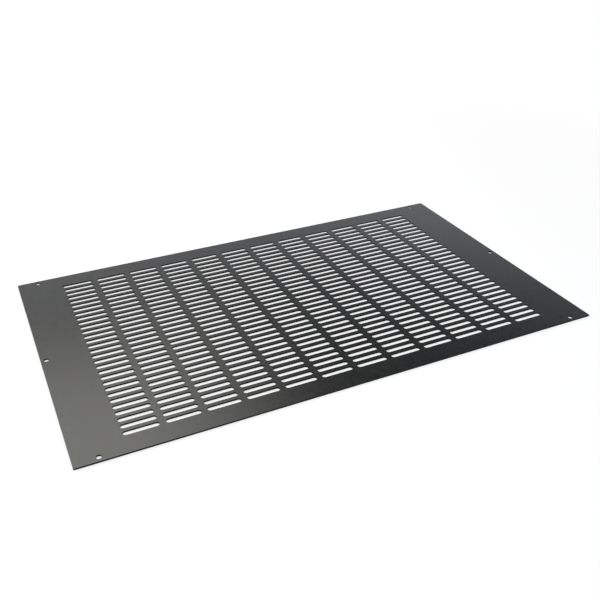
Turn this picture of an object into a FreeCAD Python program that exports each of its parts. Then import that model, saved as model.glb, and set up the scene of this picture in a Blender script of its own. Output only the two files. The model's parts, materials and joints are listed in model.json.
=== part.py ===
"""Slotted ventilation panel: one flat sheet of steel, punched and powder coated black.

Millimetres, +Z up. The origin is the centre of the underside. +X runs along the sheet's
length and +Y along its width, so the sheet lies flat on the plane z = 0.
"""

import FreeCAD, Part
import os

# Sheet blank
SHEET_LENGTH = 400.0
SHEET_WIDTH = 240.0
SHEET_THICKNESS = 1.2
CORNER_RADIUS = 0.6

# Air slots, with round ends, lying along the sheet's length
SLOT_LENGTH = 24.0
SLOT_WIDTH = 4.0
COLUMN_WEB = 4.0  # metal left between the ends of two slots in a row
ROW_WEB = 3.0  # metal left between two slots in a column
LEAST_END_BORDER = 30.0  # plain metal kept along each short edge
LEAST_SIDE_BORDER = 15.0  # plain metal kept along each long edge

# Screw holes: one near each corner and one half way along each short edge
HOLE_DIAMETER = 3.7
HOLE_EDGE_DISTANCE = 4.0  # from a hole's centre to the nearest edge of the sheet
CORNER_HOLE_INSET = 16.0  # from a corner hole's centre to the short edge

PUNCH_OVERRUN = 1.0  # how far each punch passes the sheet's faces

UP = FreeCAD.Vector(0, 0, 1)


def slot_count(sheet_size, least_border, slot_size, web):
    """How many slots of one size, with a web between them, fit inside both borders."""
    return int((sheet_size - 2 * least_border + web) // (slot_size + web))


def centred_places(count, pitch):
    """Positions of a row of equally spaced features that is centred on zero."""
    first = -(count - 1) * pitch / 2
    return [first + index * pitch for index in range(count)]


def blank():
    """The sheet before punching, with its four corners just rounded off."""
    corner = FreeCAD.Vector(-SHEET_LENGTH / 2, -SHEET_WIDTH / 2, 0)
    plate = Part.makeBox(SHEET_LENGTH, SHEET_WIDTH, SHEET_THICKNESS, corner)
    upright = [edge for edge in plate.Edges if abs(edge.tangentAt(0).dot(UP)) > 0.9]
    return plate.makeFillet(CORNER_RADIUS, upright)


def punch(outline):
    """A straight tool of the given outline that passes through the sheet."""
    tool = Part.Face(outline).extrude(UP * (SHEET_THICKNESS + 2 * PUNCH_OVERRUN))
    tool.translate(UP * -PUNCH_OVERRUN)
    return tool


def slot_punch():
    """The punch of one slot: two straight sides joined by half circles."""
    radius = SLOT_WIDTH / 2
    straight = (SLOT_LENGTH - SLOT_WIDTH) / 2
    point = FreeCAD.Vector
    front = Part.LineSegment(point(-straight, -radius, 0), point(straight, -radius, 0))
    right = Part.Arc(
        point(straight, -radius, 0),
        point(straight + radius, 0, 0),
        point(straight, radius, 0),
    )
    back = Part.LineSegment(point(straight, radius, 0), point(-straight, radius, 0))
    left = Part.Arc(
        point(-straight, radius, 0),
        point(-straight - radius, 0, 0),
        point(-straight, -radius, 0),
    )
    return punch(Part.Wire([side.toShape() for side in (front, right, back, left)]))


def hole_punch():
    """The punch of one screw hole."""
    rim = Part.makeCircle(HOLE_DIAMETER / 2, FreeCAD.Vector(0, 0, 0), UP)
    return punch(Part.Wire([rim]))


def slot_places():
    """Centres of the slots: columns along the length, rows across the width."""
    columns = slot_count(SHEET_LENGTH, LEAST_END_BORDER, SLOT_LENGTH, COLUMN_WEB)
    rows = slot_count(SHEET_WIDTH, LEAST_SIDE_BORDER, SLOT_WIDTH, ROW_WEB)
    return [
        (x, y)
        for x in centred_places(columns, SLOT_LENGTH + COLUMN_WEB)
        for y in centred_places(rows, SLOT_WIDTH + ROW_WEB)
    ]


def hole_places():
    """Centres of the six screw holes."""
    corner_x = SHEET_LENGTH / 2 - CORNER_HOLE_INSET
    corner_y = SHEET_WIDTH / 2 - HOLE_EDGE_DISTANCE
    middle_x = SHEET_LENGTH / 2 - HOLE_EDGE_DISTANCE
    corners = [(x, y) for x in (-corner_x, corner_x) for y in (-corner_y, corner_y)]
    return corners + [(-middle_x, 0), (middle_x, 0)]


def copies(tool, places):
    """One copy of a punch at each place."""
    placed = []
    for x, y in places:
        duplicate = tool.copy()
        duplicate.translate(FreeCAD.Vector(x, y, 0))
        placed.append(duplicate)
    return placed


def vent_panel():
    """The finished panel: the blank, punched with its slots and screw holes."""
    tools = copies(slot_punch(), slot_places()) + copies(hole_punch(), hole_places())
    return blank().cut(Part.makeCompound(tools))


os.makedirs("parts", exist_ok=True)
panel = vent_panel()
panel.Solids[0].exportStep("parts/vent_panel.step")
print(
    f"vent_panel: solids {len(panel.Solids)}, valid {panel.isValid()}, "
    f"faces {len(panel.Faces)}, volume {panel.Volume:.1f} mm3"
)
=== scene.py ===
"""Slotted sheet metal vent panel, lying flat in a plain studio.

Metres, +Z up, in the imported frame: the centre of the sheet's underside is the origin, its
length runs along +X and its width along +Y.
"""

import json
import logging
import math
from dataclasses import dataclass, field
from enum import IntEnum
from typing import Any, Iterable

import bmesh
import bpy
from bmesh.types import BMEdge, BMesh, BMVert
from mathutils import Matrix, Vector


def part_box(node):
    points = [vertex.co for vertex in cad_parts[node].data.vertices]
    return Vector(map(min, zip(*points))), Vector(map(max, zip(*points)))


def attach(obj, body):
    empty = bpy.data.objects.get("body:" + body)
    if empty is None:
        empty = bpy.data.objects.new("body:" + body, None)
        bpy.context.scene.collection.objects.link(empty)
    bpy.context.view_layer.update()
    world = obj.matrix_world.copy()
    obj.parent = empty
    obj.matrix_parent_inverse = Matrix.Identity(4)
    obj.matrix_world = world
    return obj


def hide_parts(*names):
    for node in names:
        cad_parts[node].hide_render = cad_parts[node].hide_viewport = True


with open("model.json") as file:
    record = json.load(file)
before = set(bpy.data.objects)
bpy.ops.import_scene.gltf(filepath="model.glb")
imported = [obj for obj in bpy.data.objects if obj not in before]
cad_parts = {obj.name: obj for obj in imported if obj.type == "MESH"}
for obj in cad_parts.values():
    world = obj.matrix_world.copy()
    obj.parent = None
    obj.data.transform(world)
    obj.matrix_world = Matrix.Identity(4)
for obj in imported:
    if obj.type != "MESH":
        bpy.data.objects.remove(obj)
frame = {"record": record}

NODE = "vent_panel"
BODY = "root"
MILLIMETRE = 0.001
MERGE_DISTANCE = 0.001 * MILLIMETRE
CLOSED_EDGE_FACES = 2  # how many faces meet at each edge of a closed surface
LEVEL_NORMAL = 0.99  # a face whose normal rises by more than this lies level
WALL_NORMAL = 0.3  # a face whose normal rises by less than this is a wall
SHARP_ANGLE = math.radians(30)  # edges that turn further than this stay crisp
NOISE_MEAN = 0.5
DISC_FACETS = 96
UP = Vector((0.0, 0.0, 1.0))

Colour = tuple[float, float, float]
Box = tuple[Vector, Vector]

log = logging.getLogger(NODE)


# ---------------------------------------------------------------------------
# Shader expressions
# ---------------------------------------------------------------------------


class Channel:
    """One output of a shader node, with the arithmetic that a shader can do on it."""

    def __init__(self, graph: "NodeGraph", socket: bpy.types.NodeSocket) -> None:
        """Wraps a socket.

        Args:
            graph: The graph that the socket's node stands in.
            socket: The output socket.
        """
        self.graph = graph
        self.socket = socket

    def __add__(self, other: "Channel | float") -> "Channel":
        """This value plus another."""
        return self.graph.arithmetic("ADD", self, other)

    def __radd__(self, other: float) -> "Channel":
        """A number plus this value."""
        return self.graph.arithmetic("ADD", other, self)

    def __sub__(self, other: "Channel | float") -> "Channel":
        """This value less another."""
        return self.graph.arithmetic("SUBTRACT", self, other)

    def __rsub__(self, other: float) -> "Channel":
        """A number less this value."""
        return self.graph.arithmetic("SUBTRACT", other, self)

    def __mul__(self, other: "Channel | float") -> "Channel":
        """This value times another."""
        return self.graph.arithmetic("MULTIPLY", self, other)

    def __rmul__(self, other: float) -> "Channel":
        """A number times this value."""
        return self.graph.arithmetic("MULTIPLY", other, self)

    def __abs__(self) -> "Channel":
        """This value without its sign."""
        return self.graph.arithmetic("ABSOLUTE", self)

    def at_least(self, other: "Channel | float") -> "Channel":
        """The larger of this value and another."""
        return self.graph.arithmetic("MAXIMUM", self, other)

    def fade(self, low: float, high: float) -> "Channel":
        """A smooth step of this value.

        Args:
            low: The value at which the step starts, at 0.
            high: The value at which the step ends, at 1.

        Returns:
            The step, from 0 to 1.
        """
        settings = {"interpolation_type": "SMOOTHSTEP"}
        values = {"Value": self, "From Min": low, "From Max": high}
        return self.graph.node("ShaderNodeMapRange", settings, values, "Result")


class NodeGraph:
    """The nodes of one material, world or lamp, built from expressions."""

    # A Mix node has sockets of one name for each kind of data, so its colours go by number.
    FIRST_COLOUR = 6
    SECOND_COLOUR = 7
    MIXED_COLOUR = 2

    def __init__(self, owner: bpy.types.ID) -> None:
        """Empties the owner's node tree, ready for new nodes.

        Args:
            owner: A material, a world or a lamp.
        """
        owner.use_nodes = True
        self.tree = owner.node_tree
        self.tree.nodes.clear()

    def node(
        self,
        kind: str,
        settings: dict[str, Any],
        values: dict[str | int, Any],
        output: str | int = 0,
    ) -> Channel:
        """Adds a node.

        Args:
            kind: The node's type.
            settings: Its settings, which are made first.
            values: Its sockets' values or links, by socket name or number.
            output: The output that is wanted.

        Returns:
            That output, as a channel.
        """
        made = self.tree.nodes.new(kind)
        for name, setting in settings.items():
            setattr(made, name, setting)
        for key, value in values.items():
            if isinstance(value, Channel):
                self.tree.links.new(value.socket, made.inputs[key])
            else:
                made.inputs[key].default_value = value
        found = made.outputs[output] if len(made.outputs) else None
        return Channel(self, found)

    def arithmetic(self, operation: str, *terms: Channel | float) -> Channel:
        """A Math node.

        Args:
            operation: The node's operation.
            terms: Its inputs, in order.

        Returns:
            The result.
        """
        settings = {"operation": operation}
        return self.node("ShaderNodeMath", settings, dict(enumerate(terms)))

    def blend(self, factor: Channel, first: Colour, second: Colour) -> Channel:
        """A mix of two colours.

        Args:
            factor: 0 for the first colour, 1 for the second.
            first: The first colour.
            second: The second colour.

        Returns:
            The mixed colour.
        """
        values = {
            "Factor": factor,
            self.FIRST_COLOUR: (*first, 1.0),
            self.SECOND_COLOUR: (*second, 1.0),
        }
        return self.node("ShaderNodeMix", {"data_type": "RGBA"}, values, self.MIXED_COLOUR)

    def choose(self, factor: Channel, first: Channel, second: Channel) -> Channel:
        """A mix of two shaders.

        Args:
            factor: 0 for the first shader, 1 for the second.
            first: The first shader.
            second: The second shader.

        Returns:
            The mixed shader.
        """
        values = {"Fac": factor, 1: first, 2: second}
        return self.node("ShaderNodeMixShader", {}, values)

    def noise(self, place: Channel, wavelength: float, detail: float) -> Channel:
        """Noise in the object's own space.

        Args:
            place: The coordinates to read.
            wavelength: The size of its largest features, in metres.
            detail: The number of finer layers.

        Returns:
            Noise from 0 to 1, about 0.5 on average.
        """
        values = {"Vector": place, "Scale": 1.0 / wavelength, "Detail": detail}
        return self.node("ShaderNodeTexNoise", {}, values)

    def looked_at(self) -> Channel:
        """Tells the rays that look at a surface from those that only light others by it.

        Returns:
            1 for rays that look at it straight, in a gloss or through glass, and 0 for others.
        """
        path = "ShaderNodeLightPath"
        camera = self.node(path, {}, {}, "Is Camera Ray")
        glossy = self.node(path, {}, {}, "Is Glossy Ray")
        through = self.node(path, {}, {}, "Is Transmission Ray")
        return camera.at_least(glossy).at_least(through)

    def finish(self, kind: str, shader: Channel) -> None:
        """Ends the graph.

        Args:
            kind: The output node's type.
            shader: The shader that it shows.
        """
        self.node(kind, {}, {"Surface": shader})


# ---------------------------------------------------------------------------
# Finishes
# ---------------------------------------------------------------------------


class Region(IntEnum):
    """The two zones of the coated sheet, which are also its material slots."""

    FACE = 0
    CUT_WALL = 1


@dataclass(frozen=True)
class PowderCoat:
    """Black polyester powder, baked on.

    The melt leaves a shallow orange peel, and its texturing agent a finer grain on top of it.
    """

    name: str
    thin_colour: Colour
    thick_colour: Colour
    sheen_level: float  # strength of the mirror-like part, 0.5 for a plain lacquer
    roughness: float
    roughness_spread: float
    cloud_wavelength: float = 60 * MILLIMETRE
    mottle_wavelength: float = 5 * MILLIMETRE
    peel_wavelength: float = 3.5 * MILLIMETRE
    grain_wavelength: float = 0.35 * MILLIMETRE
    cloud_detail: float = 3.0
    mottle_detail: float = 2.0
    relief_detail: float = 1.0  # of the peel and of the grain
    cloud_weight: float = 0.24  # weights of the coat's uneven colour, which add up to 1
    mottle_weight: float = 0.6
    grain_weight: float = 0.16
    relief_height: float = 0.024 * MILLIMETRE
    grain_share: float = 0.15  # share of the relief that is grain, the rest being peel

    def material(self) -> bpy.types.Material:
        """Builds the finish.

        Returns:
            The material.
        """
        made = bpy.data.materials.new(self.name)
        graph = NodeGraph(made)
        place = graph.node("ShaderNodeTexCoord", {}, {}, "Object")
        cloud = graph.noise(place, self.cloud_wavelength, self.cloud_detail)
        mottle = graph.noise(place, self.mottle_wavelength, self.mottle_detail)
        peel = graph.noise(place, self.peel_wavelength, self.relief_detail)
        grain = graph.noise(place, self.grain_wavelength, self.relief_detail)
        patches = self.cloud_weight * cloud + self.mottle_weight * mottle
        patchy = patches + self.grain_weight * grain
        rough = self.roughness + self.roughness_spread * (patchy - NOISE_MEAN)
        relief = (1.0 - self.grain_share) * peel + self.grain_share * grain
        bump = {"Height": relief, "Strength": 1.0, "Distance": self.relief_height}
        values = {
            "Base Color": graph.blend(patchy, self.thin_colour, self.thick_colour),
            "Roughness": rough,
            "Specular IOR Level": self.sheen_level,
            "Normal": graph.node("ShaderNodeBump", {}, bump),
        }
        shader = graph.node("ShaderNodeBsdfPrincipled", {}, values)
        graph.finish("ShaderNodeOutputMaterial", shader)
        return made


SATIN_FACE = PowderCoat(
    name="satin_black_powder_coat",
    thin_colour=(0.0075, 0.0080, 0.0080),
    thick_colour=(0.0175, 0.0182, 0.0182),
    sheen_level=0.5,
    roughness=0.25,
    roughness_spread=0.14,
)

# Painted shade: the upright walls get a darker, duller copy of the face's coat, standing in for the
# shade that falls on them.
SHADED_WALL_COAT = PowderCoat(
    name="painted_shade_wall_coat",
    thin_colour=(0.0060, 0.0062, 0.0064),
    thick_colour=(0.0090, 0.0093, 0.0096),
    sheen_level=0.05,
    roughness=0.6,
    roughness_spread=0.1,
)


# ---------------------------------------------------------------------------
# The sheet
# ---------------------------------------------------------------------------


def is_upright(edge: BMEdge) -> bool:
    """Whether an edge climbs from one level to another."""
    foot, head = edge.verts
    return abs(foot.co.z - head.co.z) > MERGE_DISTANCE


def loose_edges_at(mesh: BMesh, height: float) -> list[BMEdge]:
    """Edges with room for a face, lying in one level plane.

    Args:
        mesh: The mesh to search.
        height: The plane's height.

    Returns:
        The edges.
    """

    def level(vertex: BMVert) -> bool:
        """Whether a vertex lies in the plane."""
        return abs(vertex.co.z - height) < MERGE_DISTANCE

    return [
        edge
        for edge in mesh.edges
        if len(edge.link_faces) < CLOSED_EDGE_FACES and all(map(level, edge.verts))
    ]


@dataclass(frozen=True)
class CoatedEdge:
    """A punched edge of the sheet, cut across, with both of its arrises slightly broken."""

    thickness: float
    arris_break: float

    def section(self) -> list[tuple[float, float]]:
        """The edge's profile.

        Returns:
            Pairs of setback into the metal and height, from the top down.
        """
        return [
            (self.arris_break, self.thickness),
            (0.0, self.thickness - self.arris_break),
            (0.0, self.arris_break),
            (self.arris_break, 0.0),
        ]

    def seed(self, mesh: BMesh, place: Vector, into_metal: Vector) -> list[BMEdge]:
        """Draws the profile, ready to be swept.

        Args:
            mesh: The mesh to draw in.
            place: The foot of the wall.
            into_metal: The level direction from the opening into the metal.

        Returns:
            The profile's edges.
        """
        corners = [
            mesh.verts.new(place + into_metal * setback + UP * height)
            for setback, height in self.section()
        ]
        return [mesh.edges.new(pair) for pair in zip(corners, corners[1:])]

    def turn(
        self, mesh: BMesh, edges: list[BMEdge], centre: Vector, angle: float, steps: int
    ) -> list[BMEdge]:
        """Sweeps the profile round an upright axis.

        Args:
            mesh: The mesh that the profile is in.
            edges: The profile's edges.
            centre: A point on the axis.
            angle: How far to turn, in radians.
            steps: The number of facets.

        Returns:
            The edges where the sweep ends.
        """
        corners = {vertex for edge in edges for vertex in edge.verts}
        whole = math.isclose(angle, math.tau)
        swept = bmesh.ops.spin(
            mesh, geom=[*corners, *edges], cent=centre, axis=UP, dvec=Vector(), angle=angle,
            steps=steps, use_merge=whole, use_duplicate=False,
        )
        return [item for item in swept["geom_last"] if isinstance(item, BMEdge)]

    def run(self, mesh: BMesh, edges: list[BMEdge], way: Vector) -> list[BMEdge]:
        """Sweeps the profile along a straight.

        Args:
            mesh: The mesh that the profile is in.
            edges: The profile's edges.
            way: The straight.

        Returns:
            The edges where the sweep ends.
        """
        pulled = bmesh.ops.extrude_edge_only(mesh, edges=edges)["geom"]
        corners = [item for item in pulled if isinstance(item, BMVert)]
        bmesh.ops.translate(mesh, verts=corners, vec=way)
        return [
            item
            for item in pulled
            if isinstance(item, BMEdge) and all(end in corners for end in item.verts)
        ]


@dataclass(frozen=True)
class SlotField:
    """The air slots, in columns along the sheet and rows across it."""

    columns: int = 12
    rows: int = 30
    slot_length: float = 24 * MILLIMETRE
    slot_width: float = 4 * MILLIMETRE
    column_pitch: float = 28 * MILLIMETRE
    row_pitch: float = 7 * MILLIMETRE
    end_facets: int = 8  # round each half circle

    def build(self, mesh: BMesh, edge: CoatedEdge) -> None:
        """Adds the field: one cell of metal round a slot, repeated both ways.

        Args:
            mesh: The mesh to add to.
            edge: The edge that the slots have.
        """
        first = Vector(
            (
                -(self.columns - 1) * self.column_pitch / 2,
                -(self.rows - 1) * self.row_pitch / 2,
                0.0,
            )
        )
        self.add_slot(mesh, edge, first)
        for height in (0.0, edge.thickness):
            self.add_web(mesh, first + UP * height)
        self.repeat(mesh, Vector((self.column_pitch, 0.0, 0.0)), self.columns)
        self.repeat(mesh, Vector((0.0, self.row_pitch, 0.0)), self.rows)
        bmesh.ops.remove_doubles(mesh, verts=mesh.verts[:], dist=MERGE_DISTANCE)

    def add_slot(self, mesh: BMesh, edge: CoatedEdge, centre: Vector) -> None:
        """Adds the wall of one slot: two half turns joined by two straights.

        Args:
            mesh: The mesh to add to.
            edge: The edge that the slot has.
            centre: The slot's centre, at the underside.
        """
        radius = self.slot_width / 2
        straight = Vector((self.slot_length - self.slot_width, 0.0, 0.0))
        right, left = centre + straight / 2, centre - straight / 2
        front = Vector((0.0, -1.0, 0.0))
        profile = edge.seed(mesh, right + front * radius, front)
        profile = edge.turn(mesh, profile, right, math.pi, self.end_facets)
        profile = edge.run(mesh, profile, -straight)
        profile = edge.turn(mesh, profile, left, math.pi, self.end_facets)
        edge.run(mesh, profile, straight)
        bmesh.ops.remove_doubles(mesh, verts=mesh.verts[:], dist=MERGE_DISTANCE)

    def add_web(self, mesh: BMesh, centre: Vector) -> None:
        """Fills one level of a cell, from its slot's rim out to half way to the next slots.

        Args:
            mesh: The mesh to add to.
            centre: The cell's centre, at that level.
        """
        rim = loose_edges_at(mesh, centre.z)
        across, along = self.column_pitch / 2, self.row_pitch / 2
        corners = [
            mesh.verts.new(centre + Vector((x * across, y * along, 0.0)))
            for x, y in ((-1, -1), (1, -1), (1, 1), (-1, 1))
        ]
        border = [
            mesh.edges.new((corners[place - 1], corners[place]))
            for place in range(len(corners))
        ]
        bmesh.ops.triangle_fill(mesh, edges=rim + border, use_beauty=True, normal=UP)

    @staticmethod
    def repeat(mesh: BMesh, pitch: Vector, count: int) -> None:
        """Repeats all that the mesh holds along a straight.

        Args:
            mesh: The mesh.
            pitch: The step from one copy to the next.
            count: The number of copies, the first included.
        """
        geometry = [*mesh.verts, *mesh.edges, *mesh.faces]
        bmesh.ops.spin(
            mesh, geom=geometry, cent=Vector(), axis=UP, dvec=pitch, angle=0.0,
            steps=count - 1, use_merge=False, use_duplicate=True,
        )


@dataclass(frozen=True)
class ScrewHoles:
    """Round holes for one pattern of screws, as the record's mount gives it."""

    radius: float
    spacing_x: float
    spacing_y: float
    facets: int = 24

    @classmethod
    def from_mount(cls, mount: dict[str, Any]) -> "ScrewHoles":
        """Reads a pattern from the record.

        Args:
            mount: The record's bolt pattern.

        Returns:
            The holes.
        """
        sizes = mount["dims"]
        return cls(
            radius=sizes["hole_r_mm"] * MILLIMETRE,
            spacing_x=sizes.get("spacing_x_mm", 0.0) * MILLIMETRE,
            spacing_y=sizes.get("spacing_y_mm", 0.0) * MILLIMETRE,
        )

    def centres(self) -> list[Vector]:
        """Places the holes. A spacing of 0 puts them in a single row.

        Returns:
            The holes' centres, at the underside.
        """
        across = {-self.spacing_x / 2, self.spacing_x / 2}
        along = {-self.spacing_y / 2, self.spacing_y / 2}
        return [Vector((x, y, 0.0)) for x in sorted(across) for y in sorted(along)]

    def build(self, mesh: BMesh, edge: CoatedEdge) -> None:
        """Adds the holes' walls.

        Args:
            mesh: The mesh to add to.
            edge: The edge that the holes have.
        """
        outward = Vector((1.0, 0.0, 0.0))
        for centre in self.centres():
            profile = edge.seed(mesh, centre + outward * self.radius, outward)
            edge.turn(mesh, profile, centre, math.tau, self.facets)


@dataclass
class VentPanel:
    """The whole panel: one punched and coated sheet."""

    box: Box
    slots: SlotField
    holes: list[ScrewHoles]
    corner_radius: float = 0.6 * MILLIMETRE
    corner_facets: int = 4
    arris_break: float = 0.03 * MILLIMETRE
    # the walls' finish is painted shade: a darker, duller copy of the face's coat
    finishes: dict[Region, PowderCoat] = field(
        default_factory=lambda: {Region.FACE: SATIN_FACE, Region.CUT_WALL: SHADED_WALL_COAT}
    )

    def build(self) -> bpy.types.Object:
        """Builds, dresses and seats the panel.

        Returns:
            The panel.
        """
        low, high = self.box
        edge = CoatedEdge(thickness=high.z - low.z, arris_break=self.arris_break)
        mesh = bmesh.new()
        self.slots.build(mesh, edge)
        for pattern in self.holes:
            pattern.build(mesh, edge)
        self.add_outline(mesh)
        for height in (0.0, edge.thickness):
            rims = loose_edges_at(mesh, height)
            bmesh.ops.triangle_fill(mesh, edges=rims, use_beauty=True, normal=UP)
        bmesh.ops.recalc_face_normals(mesh, faces=mesh.faces[:])
        self.zone(mesh)
        panel = self.to_object(mesh)
        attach(panel, BODY)
        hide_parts(NODE)
        return panel

    def add_outline(self, mesh: BMesh) -> None:
        """Adds the wall round the whole sheet, with its corners just rounded off.

        Args:
            mesh: The mesh to add to.
        """
        low, high = self.box
        fit = Matrix.Translation((low + high) / 2) @ Matrix.Diagonal((*(high - low), 1.0))
        blank = bmesh.new()
        bmesh.ops.create_cube(blank, size=1.0, matrix=fit)
        uprights = [edge for edge in blank.edges if is_upright(edge)]
        self.bevel(blank, uprights, self.corner_radius, self.corner_facets)
        rims = [edge for edge in blank.edges if not is_upright(edge)]
        self.bevel(blank, rims, self.arris_break, facets=1)
        lids = [face for face in blank.faces if abs(face.normal.z) > LEVEL_NORMAL]
        bmesh.ops.delete(blank, geom=lids, context="FACES_ONLY")
        wall = bpy.data.meshes.new("outline")
        blank.to_mesh(wall)
        blank.free()
        mesh.from_mesh(wall)
        bpy.data.meshes.remove(wall)

    @staticmethod
    def bevel(mesh: BMesh, edges: list[BMEdge], size: float, facets: int) -> None:
        """Bevels edges of the blank.

        Args:
            mesh: The blank.
            edges: The edges to bevel.
            size: How far the bevel reaches to each side.
            facets: The number of facets across the bevel.
        """
        bmesh.ops.bevel(
            mesh, geom=edges, offset=size, offset_type="OFFSET", affect="EDGES",
            segments=facets, profile=0.5, material=-1,
        )

    @staticmethod
    def zone(mesh: BMesh) -> None:
        """Gives the upright walls a darker, duller copy of the coat as painted shade, and shades
        round what is round.

        Args:
            mesh: The finished mesh.
        """
        for face in mesh.faces:
            wall = abs(face.normal.z) < WALL_NORMAL
            # walls take the darker coat that paints in their shade
            face.material_index = Region.CUT_WALL if wall else Region.FACE
            face.smooth = True

    def to_object(self, mesh: BMesh) -> bpy.types.Object:
        """Makes the scene's object, dressed in its finishes.

        Args:
            mesh: The finished mesh, which is freed.

        Returns:
            The object.
        """
        open_edges = sum(len(edge.link_faces) != CLOSED_EDGE_FACES for edge in mesh.edges)
        data = bpy.data.meshes.new("punched_sheet")
        mesh.to_mesh(data)
        mesh.free()
        data.set_sharp_from_angle(angle=SHARP_ANGLE)
        for region in Region:
            data.materials.append(self.finishes[region].material())
        made = bpy.data.objects.new("punched_sheet", data)
        bpy.context.scene.collection.objects.link(made)
        log.info("%s: %d faces, %d open edges", made.name, len(data.polygons), open_edges)
        return made


# ---------------------------------------------------------------------------
# The studio
# ---------------------------------------------------------------------------


ROOM_WHITE: Colour = (1.0, 1.02, 1.09)  # a little cooler than pure white


def stage_disc(
    name: str, radius: float, centre: Vector, material: bpy.types.Material
) -> bpy.types.Object:
    """Makes a level disc of the studio, which isn't part of the panel.

    Args:
        name: The disc's name.
        radius: Its radius.
        centre: Its centre.
        material: Its material.

    Returns:
        The disc.
    """
    mesh = bmesh.new()
    bmesh.ops.create_circle(
        mesh, cap_ends=True, segments=DISC_FACETS, radius=radius,
        matrix=Matrix.Translation(centre),
    )
    data = bpy.data.meshes.new(name)
    mesh.to_mesh(data)
    mesh.free()
    data.materials.append(material)
    made = bpy.data.objects.new(name, data)
    bpy.context.scene.collection.objects.link(made)
    log.info("%s: stage", name)
    return made


@dataclass(frozen=True)
class Floor:
    """A round white floor. Near the panel it takes real light and shadow; further out it is even."""

    radius: float = 9.0
    drop: float = 0.05 * MILLIMETRE  # below the sheet, so that no two faces coincide
    colour: Colour = (0.95, 0.95, 0.95)
    shaded_share: float = 0.5  # how much of the white near the panel comes from the lamps
    shaded_radius: float = 0.30  # within this it takes its full share of shadow
    even_radius: float = 0.70  # beyond this it takes none

    def material(self) -> bpy.types.Material:
        """Builds the floor's paint, which can't be seen from below.

        Returns:
            The material.
        """
        made = bpy.data.materials.new("white_floor")
        graph = NodeGraph(made)
        place = graph.node("ShaderNodeTexCoord", {}, {}, "Object")
        settings = {"operation": "LENGTH"}
        reach = graph.node("ShaderNodeVectorMath", settings, {0: place}, "Value")
        even = reach.fade(self.shaded_radius, self.even_radius)
        share = 1.0 - self.shaded_share * (1.0 - even)
        lit = graph.node("ShaderNodeBsdfDiffuse", {}, {"Color": (*self.colour, 1.0)})
        white = graph.node("ShaderNodeEmission", {}, {"Strength": 1.0})
        above = graph.choose(graph.looked_at() * share, lit, white)
        below = graph.node("ShaderNodeNewGeometry", {}, {}, "Backfacing")
        clear = graph.node("ShaderNodeBsdfTransparent", {}, {})
        graph.finish("ShaderNodeOutputMaterial", graph.choose(below, above, clear))
        made.cycles.emission_sampling = "NONE"
        return made

    def build(self) -> bpy.types.Object:
        """Lays the floor.

        Returns:
            The floor.
        """
        return stage_disc("floor", self.radius, -UP * self.drop, self.material())


@dataclass(frozen=True)
class SoftBox:
    """A rectangular lamp in the ceiling, shining down and fading out towards its edges."""

    name: str
    centre_x: float
    centre_y: float
    width: float
    depth: float
    fade: float  # width of the dimmer strip along each edge
    radiance: float
    turn: float = 0.0  # degrees, seen from above
    colour: Colour = (1.0, 1.0, 1.0)

    def hang_cloth(self, lamp: bpy.types.AreaLight) -> None:
        """Makes the lamp's glow fall off towards its edges, as through a cloth.

        Args:
            lamp: The lamp.
        """
        graph = NodeGraph(lamp)
        place = graph.node("ShaderNodeNewGeometry", {}, {}, "Parametric")
        middle = 0.5  # of the lamp, whose own coordinates run from 0 to 1
        strength: Channel | float = 1.0
        for axis, size in (("X", self.width), ("Y", self.depth)):
            offset = graph.node("ShaderNodeSeparateXYZ", {}, {0: place}, axis) - middle
            inset = size * (middle - abs(offset))
            values = {"Value": inset, "From Min": 0.0, "From Max": self.fade}
            strength = graph.node("ShaderNodeMapRange", {}, values) * strength
        glow = graph.node("ShaderNodeEmission", {}, {"Strength": strength})
        graph.finish("ShaderNodeOutputLight", glow)

    def build(self, height: float) -> bpy.types.Object:
        """Hangs the lamp.

        Args:
            height: The ceiling's height.

        Returns:
            The lamp.
        """
        lamp = bpy.data.lights.new(self.name, "AREA")
        lamp.shape = "RECTANGLE"
        lamp.size, lamp.size_y = self.width, self.depth
        lamp.energy = math.pi * self.radiance * self.width * self.depth
        lamp.color = self.colour
        self.hang_cloth(lamp)
        made = bpy.data.objects.new(self.name, lamp)
        bpy.context.scene.collection.objects.link(made)
        made.location = (self.centre_x, self.centre_y, height)
        made.rotation_euler.z = math.radians(self.turn)
        log.info("%s: lamp of %.0f W", made.name, lamp.energy)
        return made


@dataclass(frozen=True)
class DarkCeiling:
    """A black ceiling, so that only the soft boxes and the bright room round it show in the gloss."""

    height: float = 1.1
    radius: float = 2.2
    centre_x: float = 0.1
    centre_y: float = -0.05
    clearance: float = 0.01  # of the soft boxes below it
    colour: Colour = (0.01, 0.01, 0.01)

    def build(self) -> bpy.types.Object:
        """Hangs the ceiling.

        Returns:
            The ceiling.
        """
        paint = bpy.data.materials.new("black_ceiling")
        graph = NodeGraph(paint)
        shader = graph.node("ShaderNodeBsdfDiffuse", {}, {"Color": (*self.colour, 1.0)})
        graph.finish("ShaderNodeOutputMaterial", shader)
        centre = Vector((self.centre_x, self.centre_y, self.height + self.clearance))
        made = stage_disc("ceiling", self.radius, centre, paint)
        made.visible_camera = False
        return made


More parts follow.
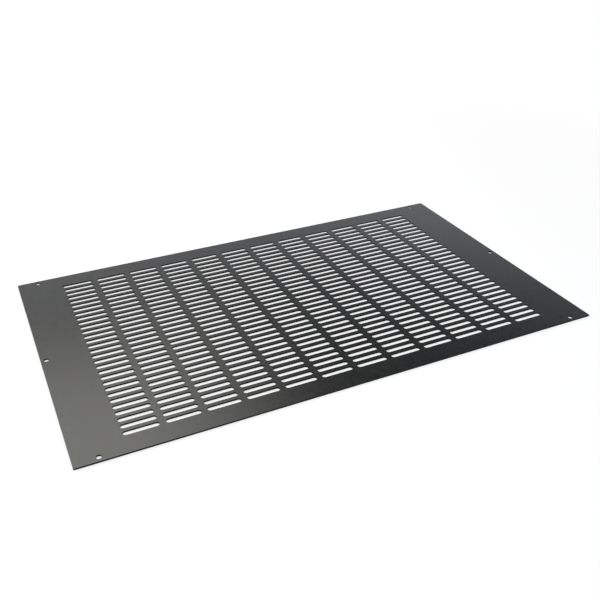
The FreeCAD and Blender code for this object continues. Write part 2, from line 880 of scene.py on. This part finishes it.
@dataclass(frozen=True)
class StudioCamera:
    """A camera on a stand, placed by its angles round a point on the panel."""

    target: tuple[float, float, float] = (0.00487, -0.00034, -0.00008)
    azimuth: float = -25.34  # degrees; 0 looks along +Y
    elevation: float = 31.03  # degrees above the floor
    distance: float = 0.6112
    lens: float = 45.0  # millimetres, as is the sensor
    sensor: float = 36.0
    clip_near: float = 0.01
    clip_far: float = 100.0

    def build(self) -> bpy.types.Object:
        """Sets up the camera and makes it the scene's own.

        Returns:
            The camera.
        """
        data = bpy.data.cameras.new("studio_camera")
        data.lens, data.sensor_width = self.lens, self.sensor
        data.clip_start, data.clip_end = self.clip_near, self.clip_far
        made = bpy.data.objects.new("studio_camera", data)
        bpy.context.scene.collection.objects.link(made)
        swing, rise = math.radians(self.azimuth), math.radians(self.elevation)
        back = Vector(
            (
                math.sin(swing) * math.cos(rise),
                -math.cos(swing) * math.cos(rise),
                math.sin(rise),
            )
        )
        made.location = Vector(self.target) + back * self.distance
        made.rotation_mode = "QUATERNION"
        made.rotation_quaternion = (-back).to_track_quat("-Z", "Y")
        bpy.context.scene.camera = made
        return made


@dataclass(frozen=True)
class Studio:
    """A bright white room with a black ceiling and three soft boxes in it."""

    floor: Floor = Floor()
    ceiling: DarkCeiling = DarkCeiling()
    lights: tuple[SoftBox, ...] = (
        SoftBox(
            name="key_light", centre_x=-0.742, centre_y=1.036, width=2.614, depth=1.745,
            fade=0.517, radiance=3.5, turn=-5.5, colour=(1.0, 0.985, 0.925),
        ),
        SoftBox(
            name="top_light", centre_x=0.0, centre_y=-0.25, width=1.8, depth=0.9,
            fade=0.3, radiance=1.6, colour=ROOM_WHITE,
        ),
        SoftBox(
            name="front_light", centre_x=0.3, centre_y=-1.2, width=2.0, depth=1.0,
            fade=0.3, radiance=2.6, colour=ROOM_WHITE,
        ),
    )

    def build(self) -> None:
        """Builds the room and its lights."""
        bpy.context.scene.view_settings.view_transform = "Standard"
        world = bpy.data.worlds.new("bright_room")
        bpy.context.scene.world = world
        graph = NodeGraph(world)
        values = {"Color": (*ROOM_WHITE, 1.0), "Strength": 1.0}
        shader = graph.node("ShaderNodeBackground", {}, values)
        graph.finish("ShaderNodeOutputWorld", shader)
        self.floor.build()
        self.ceiling.build()
        for light in self.lights:
            light.build(self.ceiling.height)


def main() -> None:
    """Builds the panel and its studio."""
    logging.basicConfig(level=logging.INFO, format="%(name)s: %(message)s")
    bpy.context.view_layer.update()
    mounts = frame["record"]["mounts"]
    patterns = [mount for mount in mounts if mount["kind"] == "bolt_pattern"]
    panel = VentPanel(
        box=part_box(NODE),
        slots=SlotField(),
        holes=[ScrewHoles.from_mount(pattern) for pattern in patterns],
    )
    panel.build()
    Studio().build()
    StudioCamera().build()


if __name__ == "__main__":
    main()
